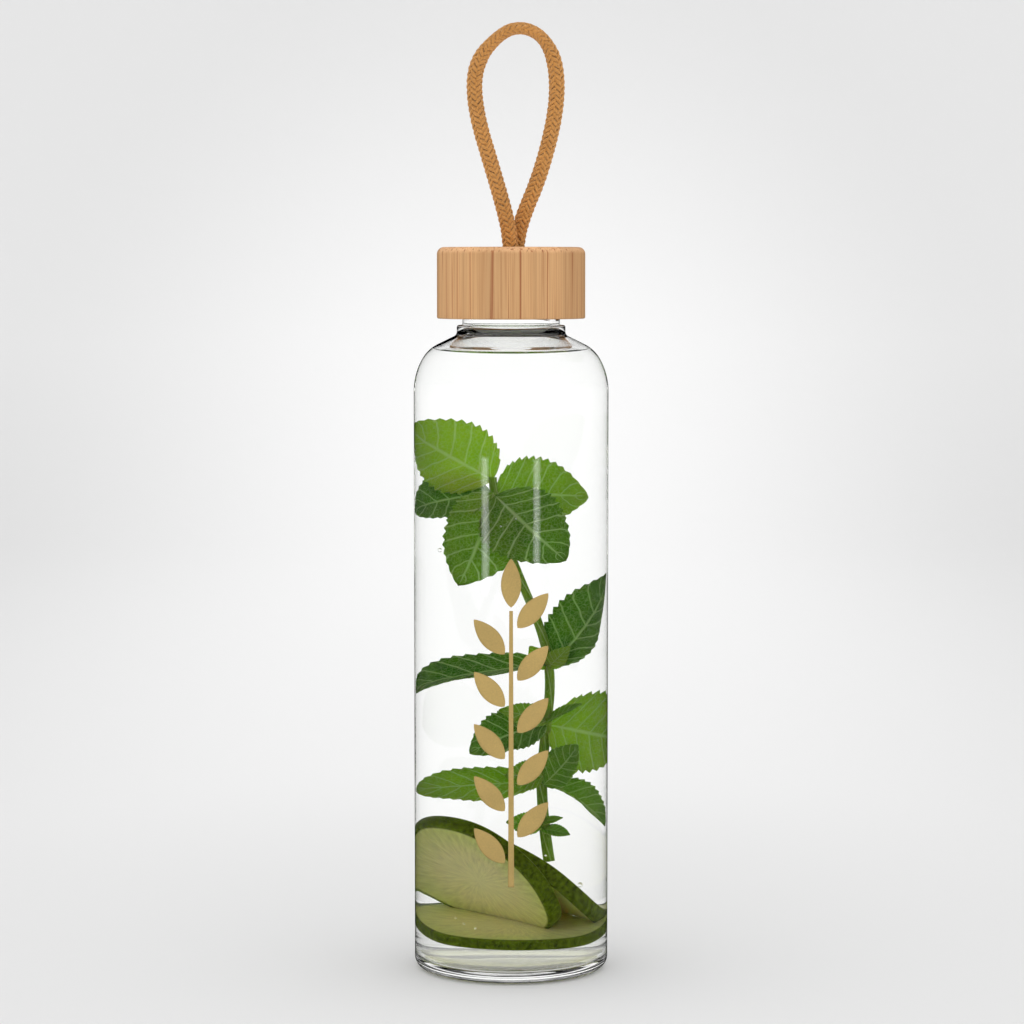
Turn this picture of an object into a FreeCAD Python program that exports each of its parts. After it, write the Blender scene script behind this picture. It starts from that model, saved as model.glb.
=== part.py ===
"""Glass water bottle with a bamboo screw cap and a rope carry loop. Millimetres, +Z up, front towards -Y.

The origin is the centre of the foot, on the surface that the bottle stands on.
"""

import FreeCAD, Part
import math
import os

from FreeCAD import Placement, Rotation, Vector

# Glass
BODY_R = 32.5
WALL = 1.8
HEEL_R = 4.0
FOOT_IN_R = 23.0
FOOT_RISE = 1.4
FOOT_SLOPE = 4.0
FLOOR_Z = 3.6
INNER_HEEL_R = 4.5
SHOULDER_Z = 194.2
SHOULDER_LOW_R = 22.0
SHOULDER_LOW_TURN = 30.0
SHOULDER_HIGH_R = 12.0
SHOULDER_TURN = 64.0

# Neck and mouth
BEAD_R = 18.1
BEAD_TOP_Z = 216.3
BEAD_EDGE = 0.7
ROOT_FILLET = 1.6
NECK_R = 16.2
NECK_FILLET = 0.6
MOUTH_R = 13.0
MOUTH_FILLET = 5.0
RIM_Z = 227.8
RIM_EDGE = 0.8

# Screw thread, right-handed, one start
PITCH = 4.0
THREAD_Z = 219.0
THREAD_TURNS = 1.5
THREAD_R = 17.5
RIDGE_ROOT = 1.15
RIDGE_CREST = 0.5
RIDGE_SINK = 0.4
FADE_DEG = 28.0
LINER_TURNS = 1.2
LINER_CREST_R = 16.5
LINER_RIDGE_ROOT = 0.9
LINER_RIDGE_CREST = 0.35
FLANK_GAP = 0.25

# Cap
CAP_R = 24.7
CAP_LOW_Z = 218.5
CAP_TOP_Z = 242.2
CAP_TOP_EDGE = 2.3
CAP_LOW_EDGE = 0.5
ROPE_HOLE_R = 6.0
CHAMBER_R = 10.5
CHAMBER_TOP_Z = 237.6

# Liner and seal
LINER_R = 19.5
LINER_BORE_R = 18.0
LINER_LOW_Z = 219.6
LINER_TOP_Z = 231.0
LINER_ROOF = 1.6
GLUE_GAP = 0.1
SEAL_IN_R = 12.9
SEAL_OUT_R = 17.7
SEAL_GAP = 0.05
BOSS_R = 12.5
BOSS_DEPTH = 1.0

# Rope
ROPE_D = 5.5
LOOP_GAP = 0.3
STRAND_Y = 2.75
KNOT_R = 8.6
KNOT_EDGE = 2.4
KNOT_GAP = 0.2
ROPE_ROUTE = [
    (-0.1, -2.75, 242.2),
    (-1.2, -2.65, 250.6),
    (-5.4, -2.1, 265.5),
    (-12.2, -1.2, 288.0),
    (-12.1, -0.5, 303.2),
    (-3.1, -0.1, 313.2),
    (4.0, 0.1, 315.0),
    (10.8, 0.3, 311.6),
    (15.1, 0.5, 302.8),
    (15.2, 1.2, 287.5),
    (9.9, 2.1, 266.5),
    (3.3, 2.65, 251.0),
    (1.7, 2.75, 242.2),
]

# Gold twig on the front
PRINT_THICK = 0.06
STEM_W = 2.0
STEM_LOW_Z = 33.0
STEM_TOP_Z = 124.0
LEAF_LENGTH = 15.0
LEAF_HALF_W = 3.3
LEAF_TILT = 42.0
LEAF_FIRST = 8.0
LEAF_STEP = 8.6
LEAF_GAP = 1.1
LEAF_COUNT = 10
TIP_LEAF_LENGTH = 16.0

AXIS = Vector(0, 0, 1)
ORIGIN = Vector(0, 0, 0)


def turned(angle):
    """Unit direction in the outline's plane, degrees from the outward direction."""
    return Vector(math.cos(math.radians(angle)), 0, math.sin(math.radians(angle)))


def at(r, z):
    return Vector(r, 0, z)


class Outline:
    """A closed half-section in the XZ plane, drawn edge after edge and spun about Z."""

    def __init__(self, r, z):
        self.start = self.end = at(r, z)
        self.edges = []

    def line(self, r, z):
        target = at(r, z)
        if (target - self.end).Length > 1e-6:
            self.edges.append(Part.makeLine(self.end, target))
            self.end = target

    def arc(self, centre, radius, first, last):
        """An arc about centre from angle first to angle last, which starts with a line if needed."""
        begin = centre + turned(first) * radius
        self.line(begin.x, begin.z)
        middle = centre + turned((first + last) / 2) * radius
        target = centre + turned(last) * radius
        self.edges.append(Part.Arc(self.end, middle, target).toShape())
        self.end = target

    def spin(self):
        self.line(self.start.x, self.start.z)
        return Part.Face(Part.Wire(self.edges)).revolve(ORIGIN, AXIS, 360)


def shoulder_centres():
    """Centres of the shoulder's two arcs, which share a tangent."""
    low = at(BODY_R - SHOULDER_LOW_R, SHOULDER_Z)
    high = low + turned(SHOULDER_LOW_TURN) * (SHOULDER_LOW_R - SHOULDER_HIGH_R)
    return low, high


def cone_height(r, inset):
    """Height at radius r of the cone above the shoulder, inset from its outside by that much."""
    top = shoulder_centres()[1] + turned(SHOULDER_TURN) * (SHOULDER_HIGH_R - inset)
    return top.z + (top.x - r) / math.tan(math.radians(SHOULDER_TURN))


def ridge(radius_in, radius_out, half_in, half_out, low_z, turns):
    """A helical ridge of trapezoid section that rises anticlockwise from the X axis."""
    helix = Part.makeHelix(PITCH, PITCH * turns, max(radius_in, radius_out))
    helix.translate(Vector(0, 0, low_z))
    corners = [
        at(radius_in, low_z - half_in),
        at(radius_out, low_z - half_out),
        at(radius_out, low_z + half_out),
        at(radius_in, low_z + half_in),
    ]
    section = Part.makePolygon(corners + corners[:1])
    return Part.Wire(helix.Edges).makePipeShell([section], True, True)


def turned_flat(angle):
    """Unit direction in the level plane, degrees anticlockwise from the X axis."""
    return Vector(math.cos(math.radians(angle)), math.sin(math.radians(angle)), 0)


def faded(solid, angle, z, direction):
    """The ridge with its end at that angle cut to a slope that runs out into the wall."""
    root = turned_flat(angle) * NECK_R
    crest = turned_flat(angle + direction * FADE_DEG) * (THREAD_R + 0.05)
    along = crest - root
    depth, height, early = 4.0, 3.6, 1.0
    side = 0 if direction < 0 else -depth
    cutter = Part.makeBox(along.Length + early, depth, height, Vector(-early, side, -height / 2))
    heading = math.degrees(math.atan2(along.y, along.x))
    cutter.Placement = Placement(root + Vector(0, 0, z), Rotation(AXIS, heading)).multiply(cutter.Placement)
    return solid.cut(cutter)


def glass_bottle():
    low, high = shoulder_centres()
    tangent = math.tan(math.radians(SHOULDER_TURN / 2))
    root_corner = at(BEAD_R, cone_height(BEAD_R, 0))
    mouth_corner = at(MOUTH_R, cone_height(MOUTH_R, WALL))
    inner_r = BODY_R - WALL

    g = Outline(0, FOOT_RISE)
    g.line(FOOT_IN_R - FOOT_SLOPE, FOOT_RISE)
    g.line(FOOT_IN_R, 0)
    g.arc(at(BODY_R - HEEL_R, HEEL_R), HEEL_R, -90, 0)
    g.arc(low, SHOULDER_LOW_R, 0, SHOULDER_LOW_TURN)
    g.arc(high, SHOULDER_HIGH_R, SHOULDER_LOW_TURN, SHOULDER_TURN)
    root_centre = root_corner + Vector(ROOT_FILLET, 0, ROOT_FILLET * tangent)
    g.arc(root_centre, ROOT_FILLET, 180 + SHOULDER_TURN, 180)
    g.arc(at(BEAD_R - BEAD_EDGE, BEAD_TOP_Z - BEAD_EDGE), BEAD_EDGE, 0, 90)
    g.arc(at(NECK_R + NECK_FILLET, BEAD_TOP_Z + NECK_FILLET), NECK_FILLET, 270, 180)
    g.arc(at(NECK_R - RIM_EDGE, RIM_Z - RIM_EDGE), RIM_EDGE, 0, 90)
    g.arc(at(MOUTH_R + RIM_EDGE, RIM_Z - RIM_EDGE), RIM_EDGE, 90, 180)
    mouth_centre = mouth_corner + Vector(MOUTH_FILLET, 0, MOUTH_FILLET * tangent)
    g.arc(mouth_centre, MOUTH_FILLET, 180, 180 + SHOULDER_TURN)
    g.arc(high, SHOULDER_HIGH_R - WALL, SHOULDER_TURN, SHOULDER_LOW_TURN)
    g.arc(low, SHOULDER_LOW_R - WALL, SHOULDER_LOW_TURN, 0)
    g.arc(at(inner_r - INNER_HEEL_R, FLOOR_Z + INNER_HEEL_R), INNER_HEEL_R, 0, -90)
    g.line(0, FLOOR_Z)
    vessel = g.spin()

    sink_half = RIDGE_ROOT + RIDGE_SINK * (RIDGE_ROOT - RIDGE_CREST) / (THREAD_R - NECK_R)
    thread = ridge(NECK_R - RIDGE_SINK, THREAD_R, sink_half, RIDGE_CREST, THREAD_Z, THREAD_TURNS)
    thread = faded(thread, 0, THREAD_Z, 1)
    thread = faded(thread, 360 * THREAD_TURNS, THREAD_Z + PITCH * THREAD_TURNS, -1)
    return vessel.fuse(thread)


def bamboo_cap():
    c = Outline(ROPE_HOLE_R, CAP_TOP_Z)
    c.arc(at(CAP_R - CAP_TOP_EDGE, CAP_TOP_Z - CAP_TOP_EDGE), CAP_TOP_EDGE, 90, 0)
    c.arc(at(CAP_R - CAP_LOW_EDGE, CAP_LOW_Z + CAP_LOW_EDGE), CAP_LOW_EDGE, 0, -90)
    bore = LINER_R + GLUE_GAP
    c.line(bore, CAP_LOW_Z)
    c.line(bore, LINER_TOP_Z)
    c.line(CHAMBER_R, LINER_TOP_Z)
    c.line(CHAMBER_R, CHAMBER_TOP_Z)
    c.line(ROPE_HOLE_R, CHAMBER_TOP_Z)
    return c.spin()


def thread_liner():
    roof = LINER_TOP_Z - LINER_ROOF
    n = Outline(0, LINER_TOP_Z)
    n.line(LINER_R, LINER_TOP_Z)
    n.line(LINER_R, LINER_LOW_Z)
    n.line(LINER_BORE_R, LINER_LOW_Z)
    n.line(LINER_BORE_R, roof)
    n.line(BOSS_R, roof)
    n.line(BOSS_R, roof - BOSS_DEPTH)
    n.line(0, roof - BOSS_DEPTH)
    cup = n.spin()

    flank = RIDGE_ROOT - (LINER_CREST_R - NECK_R) * (RIDGE_ROOT - RIDGE_CREST) / (THREAD_R - NECK_R)
    below = flank + LINER_RIDGE_CREST + FLANK_GAP
    slope = (LINER_RIDGE_ROOT - LINER_RIDGE_CREST) / (LINER_BORE_R - LINER_CREST_R)
    sink_half = LINER_RIDGE_ROOT + RIDGE_SINK * slope
    thread = ridge(
        LINER_CREST_R,
        LINER_BORE_R + RIDGE_SINK,
        LINER_RIDGE_CREST,
        sink_half,
        THREAD_Z + PITCH - below,
        LINER_TURNS,
    )
    return cup.fuse(thread)


def seal_ring():
    low, high = RIM_Z + SEAL_GAP, LINER_TOP_Z - LINER_ROOF - SEAL_GAP
    s = Outline(SEAL_IN_R, low)
    s.line(SEAL_OUT_R, low)
    s.line(SEAL_OUT_R, high)
    s.line(SEAL_IN_R, high)
    return s.spin()


def rope_path():
    """Straight runs joined by tangent arcs, each as large as its two runs allow."""
    points = [Vector(*p) for p in ROPE_ROUTE]
    edges, last, radii = [], points[0], []
    for before, corner, after in zip(points, points[1:], points[2:]):
        into, out = corner - before, after - corner
        half = into.getAngle(out) / 2
        reach = 0.45 * min(into.Length, out.Length)
        radii.append(round(reach / math.tan(half), 1))
        into.normalize()
        out.normalize()
        begin, end = corner - into * reach, corner + out * reach
        inward = (out - into).normalize()
        radius = reach / math.tan(half)
        middle = corner + inward * (radius / math.cos(half) - radius)
        edges.append(Part.makeLine(last, begin))
        edges.append(Part.Arc(begin, middle, end).toShape())
        last = end
    edges.append(Part.makeLine(last, points[-1]))
    return Part.Wire(edges), radii


def pivot_height():
    """The loop tips about a level line here, low enough to look rooted in the hole."""
    return CAP_TOP_Z + LOOP_GAP + STRAND_Y + ROPE_D / 2


def carry_rope():
    path, radii = rope_path()
    first = path.Edges[0]
    heading = first.tangentAt(first.FirstParameter)
    section = Part.Wire(Part.makeCircle(ROPE_D / 2, Vector(*ROPE_ROUTE[0]), heading))
    tube = path.makePipeShell([section], True, False)
    expected = math.pi * ROPE_D**2 / 4 * path.Length
    print("rope length", round(path.Length, 1), "bend radii", radii)
    print("rope volume over section times length", round(tube.Volume / expected, 4))
    root_r = STRAND_Y + ROPE_D / 2
    span = 60.0
    root = Part.makeCylinder(root_r, span, Vector(-span / 2, 0, pivot_height()), Vector(1, 0, 0))
    above = Part.makeBox(span, span, 2 * span, Vector(-span / 2, -span / 2, pivot_height()))
    return tube.common(above.fuse(root))


def rope_knot():
    low, high = LINER_TOP_Z + KNOT_GAP, CHAMBER_TOP_Z - KNOT_GAP
    k = Outline(0, high)
    k.arc(at(KNOT_R - KNOT_EDGE, high - KNOT_EDGE), KNOT_EDGE, 90, 0)
    k.arc(at(KNOT_R - KNOT_EDGE, low + KNOT_EDGE), KNOT_EDGE, 0, -90)
    k.line(0, low)
    lump = k.spin()
    for x, y, z in (ROPE_ROUTE[0], ROPE_ROUTE[-1]):
        lump = lump.fuse(Part.makeCylinder(ROPE_D / 2, z - high + 1, Vector(x, y, high - 1)))
    return lump


def leaf(length, half_width):
    """A flat leaf along +Z from its foot at the origin, in the XZ plane."""
    foot, tip = at(0, 0), at(0, length)
    right = Part.Arc(foot, at(half_width, 0.45 * length), tip).toShape()
    left = Part.Arc(tip, at(-half_width, 0.45 * length), foot).toShape()
    return Part.Face(Part.Wire([right, left]))


def gold_print():
    """Stem and leaves cut out of a thin skin on the glass."""
    skin = Part.makeCylinder(BODY_R + PRINT_THICK, SHOULDER_Z).cut(Part.makeCylinder(BODY_R, SHOULDER_Z))
    half = STEM_W / 2
    corners = [at(-half, STEM_LOW_Z), at(half, STEM_LOW_Z), at(half, STEM_TOP_Z), at(-half, STEM_TOP_Z)]
    flats = [Part.Face(Part.makePolygon(corners + corners[:1]))]
    for n in range(LEAF_COUNT):
        side = 1 if n % 2 else -1
        shape = leaf(LEAF_LENGTH, LEAF_HALF_W)
        shape.rotate(ORIGIN, Vector(0, 1, 0), side * LEAF_TILT)
        shape.translate(at(side * (half + LEAF_GAP), STEM_LOW_Z + LEAF_FIRST + n * LEAF_STEP))
        flats.append(shape)
    tip = leaf(TIP_LEAF_LENGTH, LEAF_HALF_W)
    tip.translate(Vector(0, 0, STEM_TOP_Z + LEAF_GAP))
    flats.append(tip)
    reach = BODY_R + 5
    pieces = []
    for flat in flats:
        flat.translate(Vector(0, -reach, 0))
        pieces.append(flat.extrude(Vector(0, reach, 0)).common(skin))
    return Part.Compound([s for p in pieces for s in p.Solids])


NODES = {
    "glass_bottle": glass_bottle,
    "bamboo_cap": bamboo_cap,
    "thread_liner": thread_liner,
    "seal_ring": seal_ring,
    "carry_rope": carry_rope,
    "rope_knot": rope_knot,
    "gold_print": gold_print,
}

os.makedirs("parts", exist_ok=True)
for name, build in NODES.items():
    shape = build()
    box = shape.BoundBox
    print(
        f"{name}: {len(shape.Solids)} solids, valid {shape.isValid()}, {shape.Volume:.1f} mm3,"
        f" x {box.XMin:.2f} {box.XMax:.2f} y {box.YMin:.2f} {box.YMax:.2f} z {box.ZMin:.2f} {box.ZMax:.2f}"
    )
    shape.exportStep(f"parts/{name}.step")
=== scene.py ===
"""Glass water bottle with a bamboo screw cap and a braided rope loop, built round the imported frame."""

import math

import bmesh
import bpy
from bpy.props import BoolProperty, FloatProperty, FloatVectorProperty, IntProperty, PointerProperty
from mathutils import Matrix, Vector


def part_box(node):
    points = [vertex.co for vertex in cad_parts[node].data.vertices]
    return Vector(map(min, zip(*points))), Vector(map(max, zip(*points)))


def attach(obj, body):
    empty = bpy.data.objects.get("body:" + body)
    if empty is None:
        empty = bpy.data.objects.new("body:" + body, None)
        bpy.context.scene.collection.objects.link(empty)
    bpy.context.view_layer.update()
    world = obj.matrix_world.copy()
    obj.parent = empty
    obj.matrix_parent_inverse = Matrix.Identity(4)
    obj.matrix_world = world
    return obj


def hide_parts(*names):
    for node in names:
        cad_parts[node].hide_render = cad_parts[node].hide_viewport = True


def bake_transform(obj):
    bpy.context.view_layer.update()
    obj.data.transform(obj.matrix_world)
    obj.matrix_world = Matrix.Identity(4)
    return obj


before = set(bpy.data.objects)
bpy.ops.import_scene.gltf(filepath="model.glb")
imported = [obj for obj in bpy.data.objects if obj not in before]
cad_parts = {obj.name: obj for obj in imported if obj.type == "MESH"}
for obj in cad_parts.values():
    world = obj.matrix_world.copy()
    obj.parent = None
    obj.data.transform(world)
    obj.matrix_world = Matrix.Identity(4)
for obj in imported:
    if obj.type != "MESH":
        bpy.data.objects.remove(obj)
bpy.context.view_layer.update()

bl_info = {
    "name": "Glass bottle with rope loop",
    "version": (1, 0, 0),
    "blender": (4, 5, 0),
    "location": "3D View > Sidebar > Bottle",
    "description": "Builds a glass water bottle, its bamboo cap, rope loop and print, and a studio stage",
    "category": "Add Mesh",
}

MM = 0.001
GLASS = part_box("glass_bottle")
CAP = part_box("bamboo_cap")
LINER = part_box("thread_liner")
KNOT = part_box("rope_knot")

# Vertices closer than this are merged. The finer one is for the rope's and the leaves' small faces.
MERGE = 1e-6
FINE_MERGE = 1e-7

# Route of the rope's middle line, from the hole up the front strand, over and down the back one.
ROPE_ROUTE = [
    (-0.0001, -0.00275, 0.2422),
    (-0.0012, -0.00265, 0.2506),
    (-0.0054, -0.0021, 0.2655),
    (-0.0122, -0.0012, 0.2880),
    (-0.0121, -0.0005, 0.3032),
    (-0.0031, -0.0001, 0.3132),
    (0.0040, 0.0001, 0.3150),
    (0.0108, 0.0003, 0.3116),
    (0.0151, 0.0005, 0.3028),
    (0.0152, 0.0012, 0.2875),
    (0.0099, 0.0021, 0.2665),
    (0.0033, 0.00265, 0.2510),
    (0.0017, 0.00275, 0.2422),
]


def length(name, text, default, **more):
    """A size in metres that the panel shows in scene units."""
    return FloatProperty(name=name, description=text, default=default, unit="LENGTH", precision=5, **more)


def colour(name, text, default):
    """A linear colour swatch."""
    return FloatVectorProperty(name=name, description=text, default=default, subtype="COLOR", min=0, max=1)


def amount(name, text, default, **more):
    """A plain number, such as a share or a strength."""
    return FloatProperty(name=name, description=text, default=default, **more)


def whole(name, text, default, least):
    """A whole number."""
    return IntProperty(name=name, description=text, default=default, min=least)


def spot(name, text, default):
    """A place, or a reach each way, in metres."""
    return FloatVectorProperty(name=name, description=text, default=default, subtype="TRANSLATION")


class GlassSettings(bpy.types.PropertyGroup):
    body_radius: length("Body radius", "Outside radius of the straight wall", GLASS[1].x)
    rim_height: length("Rim height", "Height of the mouth's rim", GLASS[1].z)
    wall: length("Wall", "Thickness of the glass", 1.8 * MM)
    floor: length("Floor", "Height of the floor inside", 3.6 * MM)
    heel: length("Heel", "Radius round the foot, outside", 4.0 * MM)
    inner_heel: length("Inner heel", "Radius round the floor, inside", 4.5 * MM)
    foot_ring: length("Foot ring", "Inner radius of the ring that the bottle stands on", 23.0 * MM)
    foot_rise: length("Foot rise", "How far the underside is pushed up", 1.4 * MM)
    shoulder: length("Shoulder", "Height where the wall begins to turn in", 194.2 * MM)
    shoulder_low: length("Lower shoulder", "Radius of the shoulder's lower arc", 22.0 * MM)
    shoulder_high: length("Upper shoulder", "Radius of the shoulder's upper arc", 12.0 * MM)
    bead: length("Bead", "Radius of the bead round the neck", 18.1 * MM)
    bead_top: length("Bead top", "Height of the bead's top", 216.3 * MM)
    neck: length("Neck", "Outside radius of the neck", 16.2 * MM)
    mouth: length("Mouth", "Inside radius of the mouth", 13.0 * MM)
    pitch: length("Pitch", "Rise of the screw thread in one turn", 4.0 * MM)
    thread_start: length("Thread start", "Height where the thread begins", 219.0 * MM)
    thread_height: length("Thread height", "How far the thread stands out of the neck", 1.3 * MM)
    thread_turns: amount("Thread turns", "Turns of the thread", 1.5)
    segments: whole("Segments", "Facets round the bottle", 160, 24)
    tint: colour("Tint", "Colour of the clear glass", (0.997, 0.999, 0.996))
    # Painted reflection: the dark olive that the glass's silhouette shows edge on.
    painted_edge_reflection: colour("Painted edge reflection", "Colour of the glass seen edge on", (0.12, 0.15, 0.07))
    # Painted reflection: the cucumber's green, tinted into the glass floor under the slices.
    painted_fruit_reflection: colour("Painted fruit reflection", "Cast that the fruit gives to the floor", (0.30, 0.30, 0.12))


class CapSettings(bpy.types.PropertyGroup):
    edge: length("Top edge", "Radius of the rounded top edge", 2.3 * MM)
    low_edge: length("Lower edge", "Radius of the lower edge", 0.5 * MM)
    rope_hole: length("Rope hole", "Radius of the hole for the rope", 6.0 * MM)
    chamber: length("Chamber", "Radius of the chamber over the liner", 10.5 * MM)
    chamber_top: length("Chamber top", "Height of the chamber's top", 237.6 * MM)
    recess: length("Recess", "Radius of the recess that holds the liner", 19.6 * MM)
    light: colour("Light fibre", "Colour of the pale bamboo", (0.66, 0.385, 0.175))
    dark: colour("Dark fibre", "Colour of the dark bamboo", (0.40, 0.16, 0.05))
    hairline: colour("Hairline", "Colour of the dark lines between the fibres", (0.36, 0.115, 0.035))


class RopeSettings(bpy.types.PropertyGroup):
    diameter: length("Diameter", "Diameter of the rope", 5.5 * MM)
    lay: length("Lay", "Length in which a strand goes once round", 15.0 * MM)
    pairs: whole("Strands each way", "Strands wound in each direction", 8, 4)
    flat: amount("Flatness", "Thickness kept where the loop turns over", 0.74)
    tucked: length("Tucked end", "How far each end goes down the hole", 4.0 * MM)
    light: colour("Yarn", "Colour of the raised yarn", (0.68, 0.33, 0.095))
    # The dark colour is the painted shade between the strands, under them and on the core.
    dark: colour("Shade", "Colour between the strands", (0.16, 0.06, 0.012))


class DrinkSettings(bpy.types.PropertyGroup):
    filled: BoolProperty(
        name="Filled", description="Fill the bottle with water, mint and cucumber", default=True
    )
    level: length("Water level", "Height of the water", 205.7 * MM)
    meniscus: length("Meniscus", "How far the water climbs the glass", 1.9 * MM)
    slice_radius: length("Slice radius", "Radius of a cucumber slice", 24.0 * MM)
    slice_thickness: length("Slice thickness", "Thickness of a cucumber slice", 5.2 * MM)
    leaf_thickness: length("Leaf thickness", "Thickness of a mint leaf", 0.3 * MM)
    stalk_tip: length("Stalk tip", "Radius of the mint stalk at its top", 0.95 * MM)
    stalk_foot: length("Stalk foot", "Radius of the mint stalk at its cut end", 1.35 * MM)
    young: colour("Young leaf", "Colour of a young mint leaf", (0.36, 0.56, 0.04))
    old: colour("Old leaf", "Colour of an old mint leaf", (0.05, 0.15, 0.015))
    vein: colour("Vein", "Colour of a mint leaf's veins", (0.60, 0.74, 0.36))
    rind: colour("Rind", "Colour of the cucumber's rind", (0.105, 0.150, 0.007))
    flesh: colour("Flesh", "Colour of the cucumber's flesh", (0.93, 0.88, 0.46))


class PrintSettings(bpy.types.PropertyGroup):
    thickness: length("Thickness", "Thickness of the fired ink", 0.08 * MM)
    stem_width: length("Stem width", "Width of the twig's stem", 2.0 * MM)
    stem_taper: amount("Stem taper", "Share of its width that the stem loses towards its top", 0.4)
    stem_low: length("Stem foot", "Height of the stem's lower end", 33.0 * MM)
    stem_top: length("Stem top", "Height of the stem's upper end", 124.0 * MM)
    leaf_length: length("Leaf length", "Length of a side leaf", 15.0 * MM)
    tip_length: length("Tip leaf length", "Length of the leaf at the tip", 16.0 * MM)
    leaf_half: length("Leaf half width", "Half the width of a leaf", 3.3 * MM)
    leaf_gap: length("Leaf gap", "Gap between the stem and a leaf", 1.1 * MM)
    leaf_first: length("First leaf", "Height of the lowest leaf over the stem's foot", 8.0 * MM)
    leaf_step: length("Leaf step", "Rise from one leaf to the next", 8.6 * MM)
    leaf_tilt: amount("Leaf tilt", "Lean of a side leaf", math.radians(42), subtype="ANGLE")
    leaf_count: whole("Leaves", "Number of side leaves", 10, 0)
    gold: colour("Gold", "Colour of the ink", (0.66, 0.46, 0.155))


class StageSettings(bpy.types.PropertyGroup):
    floor_radius: length("Floor radius", "Radius of the flat floor", 1.6)
    cove: length("Cove", "Radius of the curve from floor to wall", 0.7)
    wall_top: length("Wall top", "Height of the wall", 0.95)
    grey: colour("Backdrop", "Colour of the floor and wall", (0.80, 0.80, 0.80))
    # Painted shade: the floor keeps less of the grey than the wall, rising between them over a height.
    floor_painted_shade: amount("Floor painted shade", "Share of that colour on the floor", 0.86)
    wall_painted_shade: amount("Wall painted shade", "Share of that colour on the wall", 0.93)
    painted_shade_rise: length("Painted shade rise", "Height where the wall's share is reached", 0.16)
    glow: amount("Glow", "Strength of the glow behind the bottle", 0.24)
    fill: amount("Fill", "Glow that only lights the bottle, as a share of the glow", 1.3)
    glow_centre: spot("Glow centre", "Middle of the glow", (0.0, 1.7, 0.0))
    glow_reach: spot("Glow reach", "Reach of the glow each way", (0.52, 3.6, 0.62))
    shade_centre: spot("Shade centre", "Middle of the shade under the bottle", (0.0, 0.15, 0.0))
    shade_reach: spot("Shade reach", "Reach of the shade each way", (0.25, 0.30, 0.2))
    shade_depth: amount("Shade depth", "Share of light left in the shade", 0.93)
    air: amount("Air", "Strength of the even light all round", 1.06)
    strip_power: amount("Strip power", "Power of a strip lamp in watts, for each metre of its width", 0.55)
    eye: spot("Camera", "Place of the camera", (0.0003, -1.073, 0.236))
    aim: spot("Aim", "Point that the camera looks at", (0.0003, 0.0, 0.1538))
    lens: amount("Lens", "Focal length in millimetres", 113.0, unit="CAMERA")


# ---------------------------------------------------------------- shapes


def arc(centre, radius, first, last, steps):
    """Points (r, z) on an arc about centre, in degrees from outwards."""
    angles = [math.radians(first + (last - first) * n / steps) for n in range(steps + 1)]
    return [(centre[0] + radius * math.cos(a), centre[1] + radius * math.sin(a)) for a in angles]


def run(start, end, steps):
    """Points (r, z) along a straight stretch, without its first point."""
    shares = [n / steps for n in range(1, steps + 1)]
    return [(start[0] + (end[0] - start[0]) * s, start[1] + (end[1] - start[1]) * s) for s in shares]


def eased(share):
    """The share, kept between 0 and 1, and eased at both ends."""
    share = min(1.0, max(0.0, share))
    return share * share * (3 - 2 * share)


def leaf_width(s, lean, fullness):
    """Share of a leaf's greatest width, at share s of its length."""
    return math.sin(math.pi * s**lean) ** fullness


def toned(tone, share):
    """The colour, made lighter or darker."""
    return tuple(share * part for part in tone)


def finished(name, bm, material):
    """A smooth mesh object in the scene from a bmesh."""
    for face in bm.faces:
        face.smooth = True
    mesh = bpy.data.meshes.new(name)
    bm.to_mesh(mesh)
    bm.free()
    mesh.materials.append(material)
    piece = bpy.data.objects.new(name, mesh)
    bpy.context.scene.collection.objects.link(piece)
    return piece


def spun(outline, segments, closed=True):
    """A bmesh of the half-section, points (r, z), spun once round the axis."""
    bm = bmesh.new()
    verts = [bm.verts.new((r, 0, z)) for r, z in outline]
    pairs = list(zip(verts, verts[1:]))
    if closed:
        pairs.append((verts[-1], verts[0]))
    edges = [bm.edges.new(pair) for pair in pairs]
    bmesh.ops.spin(
        bm,
        geom=verts + edges,
        cent=(0, 0, 0),
        axis=(0, 0, 1),
        angle=math.tau,
        steps=segments,
        use_merge=True,
    )
    bmesh.ops.remove_doubles(bm, verts=bm.verts, dist=MERGE)
    loose = [v for v in bm.verts if not v.link_faces]
    bmesh.ops.delete(bm, geom=loose, context="VERTS")
    bmesh.ops.recalc_face_normals(bm, faces=bm.faces)
    return bm


def laid_grid(bm, rows, columns, place, uv=None, values=()):
    """A grid whose points, at shares s and t of its two sides, go where place(s, t) says.

    values lists pairs of a float layer and a function of s and t.
    """
    made = bmesh.ops.create_grid(bm, x_segments=rows, y_segments=columns, size=0.5)["verts"]
    shares = [(v, v.co.x + 0.5, v.co.y + 0.5) for v in made]
    if uv:
        marks = {v: (s, t) for v, s, t in shares}
        for face in {f for v in made for f in v.link_faces}:
            for loop in face.loops:
                loop[uv].uv = marks[loop.vert]
    for vert, s, t in shares:
        vert.co = place(s, t)
        for layer, value in values:
            vert[layer] = value(s, t)
    return made


def sealed(bm, made):
    """Closes rolled-up grids into tubes with filled ends."""
    bmesh.ops.remove_doubles(bm, verts=made, dist=FINE_MERGE)
    bmesh.ops.holes_fill(bm, edges=[e for e in bm.edges if e.is_boundary], sides=0)
    bmesh.ops.recalc_face_normals(bm, faces=bm.faces)


# ---------------------------------------------------------------- finishes


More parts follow.
